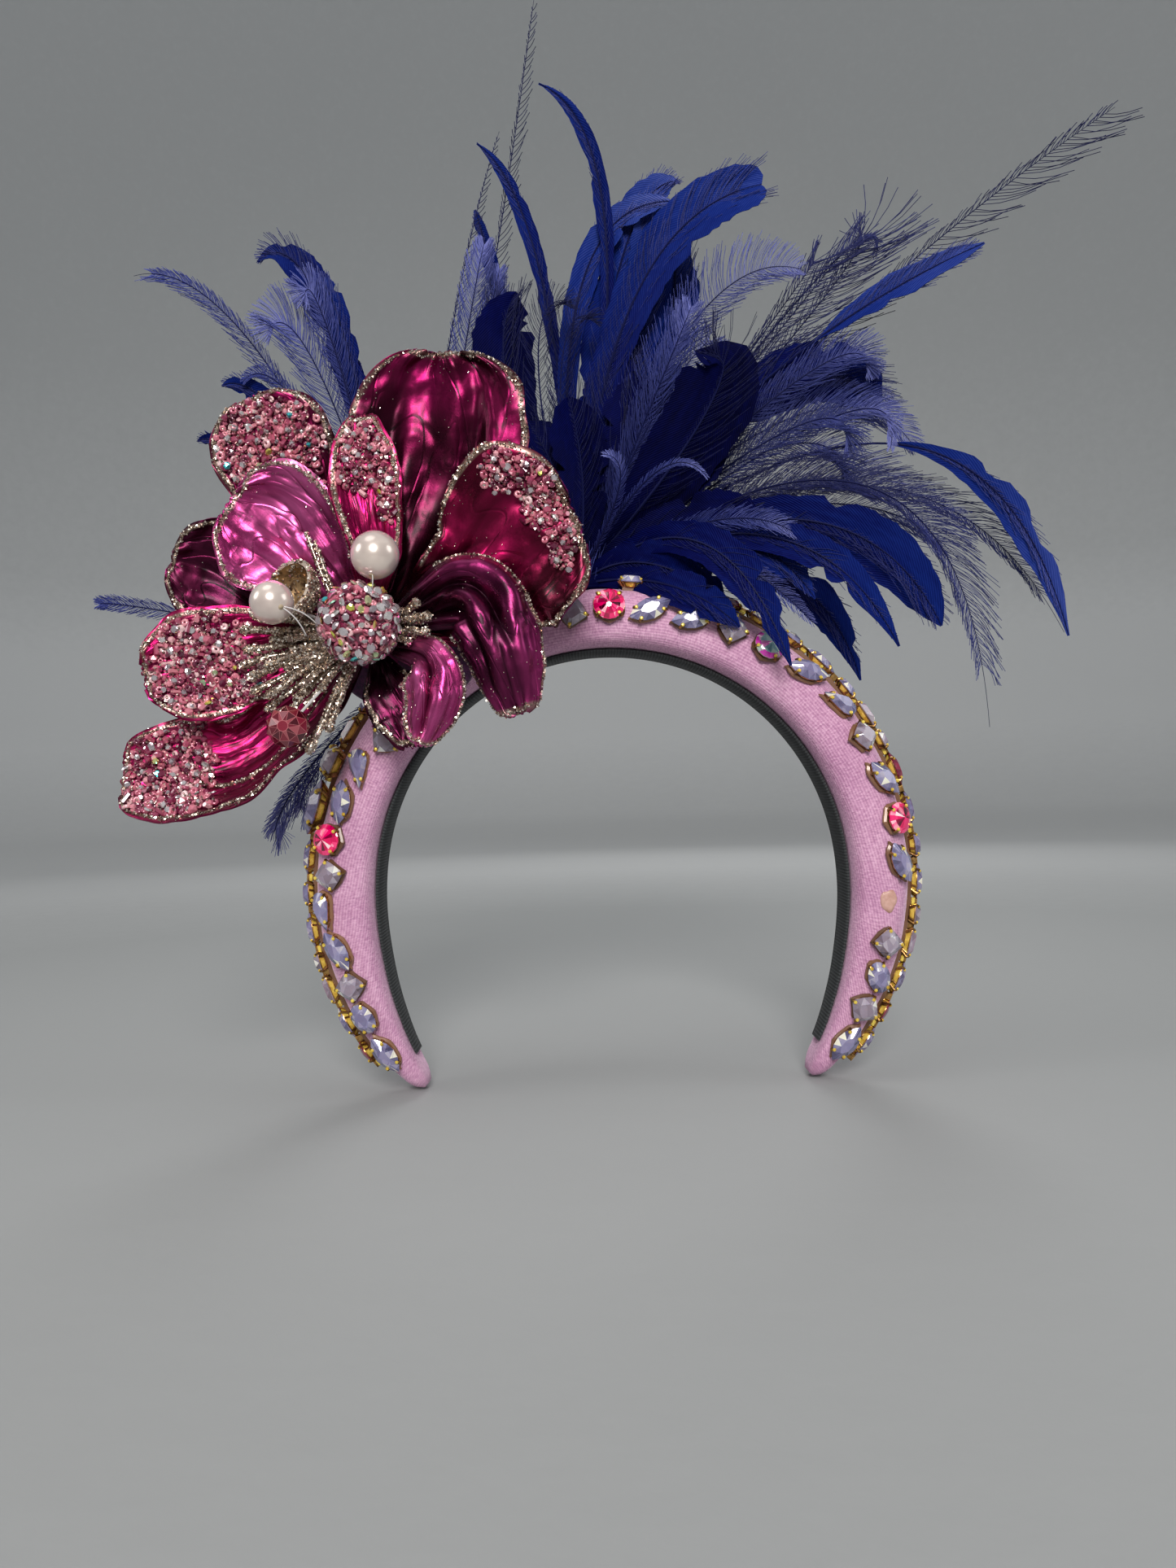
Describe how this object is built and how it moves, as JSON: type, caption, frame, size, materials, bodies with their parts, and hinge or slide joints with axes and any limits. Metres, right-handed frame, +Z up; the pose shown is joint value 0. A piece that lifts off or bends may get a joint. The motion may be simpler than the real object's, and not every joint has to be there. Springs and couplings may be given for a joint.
{
  "type": "fascinator headband",
  "caption": "Padded velvet halo headband with rows of claw-set stones, a large foil magnolia with a beaded heart at one side, and a plume of coque and wispy feathers.",
  "frame": {"origin": "middle of the lining's head face at the crown of the arch, where the head carries the band", "axes": "+Z up, -Y towards the wearer's front, +X to the right of the front view"},
  "size_m": [0.3698, 0.0906, 0.3892],
  "materials": {
    "velvet": "dusty lilac pile with a fine nap",
    "lining": "charcoal ribbon",
    "opal_stone": "milky lavender-blue opal glass, faceted",
    "rose_stone": "hot pink faceted glass with a foiled back",
    "aurora_stone": "clear faceted glass with a rainbow coat",
    "gold_setting": "bright gold claw cups",
    "felt": "dark maroon felt",
    "petal_foil": "metallic magenta foil on cloth",
    "pearl": "pearl lacquer",
    "beads": "rosy transparent glass beads and sequins",
    "glitter": "coarse champagne glitter",
    "feather": "dyed royal blue feather"
  },
  "bodies": {
    "root": {"aurora_round_01": "aurora_stone", "beaded_ball": "beads", "flower_calyx": "petal_foil", "flower_pad": "felt", "glitter_cup": "glitter", "inner_lining": "lining", "opal_navette_01": "opal_stone", "opal_navette_02": "opal_stone", "opal_navette_03": "opal_stone", "opal_navette_04": "opal_stone", "opal_navette_05": "opal_stone", "opal_navette_06": "opal_stone", "opal_navette_07": "opal_stone", "opal_navette_08": "opal_stone", "opal_navette_09": "opal_stone", "opal_oval_01": "opal_stone", "opal_oval_02": "opal_stone", "opal_pear_01": "opal_stone", "opal_pear_02": "opal_stone", "opal_pear_03": "opal_stone", "opal_square_01": "opal_stone", "opal_square_02": "opal_stone", "opal_square_03": "opal_stone", "opal_square_04": "opal_stone", "opal_square_05": "opal_stone", "opal_square_06": "opal_stone", "opal_square_07": "opal_stone", "opal_square_08": "opal_stone", "pearl_left": "pearl", "pearl_top": "pearl", "petal_beaded_left": "petal_foil", "petal_boat_low": "petal_foil", "petal_curl_low": "petal_foil", "petal_curl_right": "petal_foil", "petal_dark_left": "petal_foil", "petal_dark_low": "petal_foil", "petal_narrow_top": "petal_foil", "petal_smooth_left": "petal_foil", "petal_tall_back": "petal_foil", "petal_top_left": "petal_foil", "petal_wide_right": "petal_foil", "plume_left": "feather", "plume_right": "feather", "rim_row_left": "gold_setting", "rim_row_right": "gold_setting", "rose_bead": "beads", "rose_round_01": "rose_stone", "rose_round_02": "rose_stone", "rose_round_03": "rose_stone", "stamens": "glitter", "velvet_band": "velvet"}
  },
  "joints": []
}
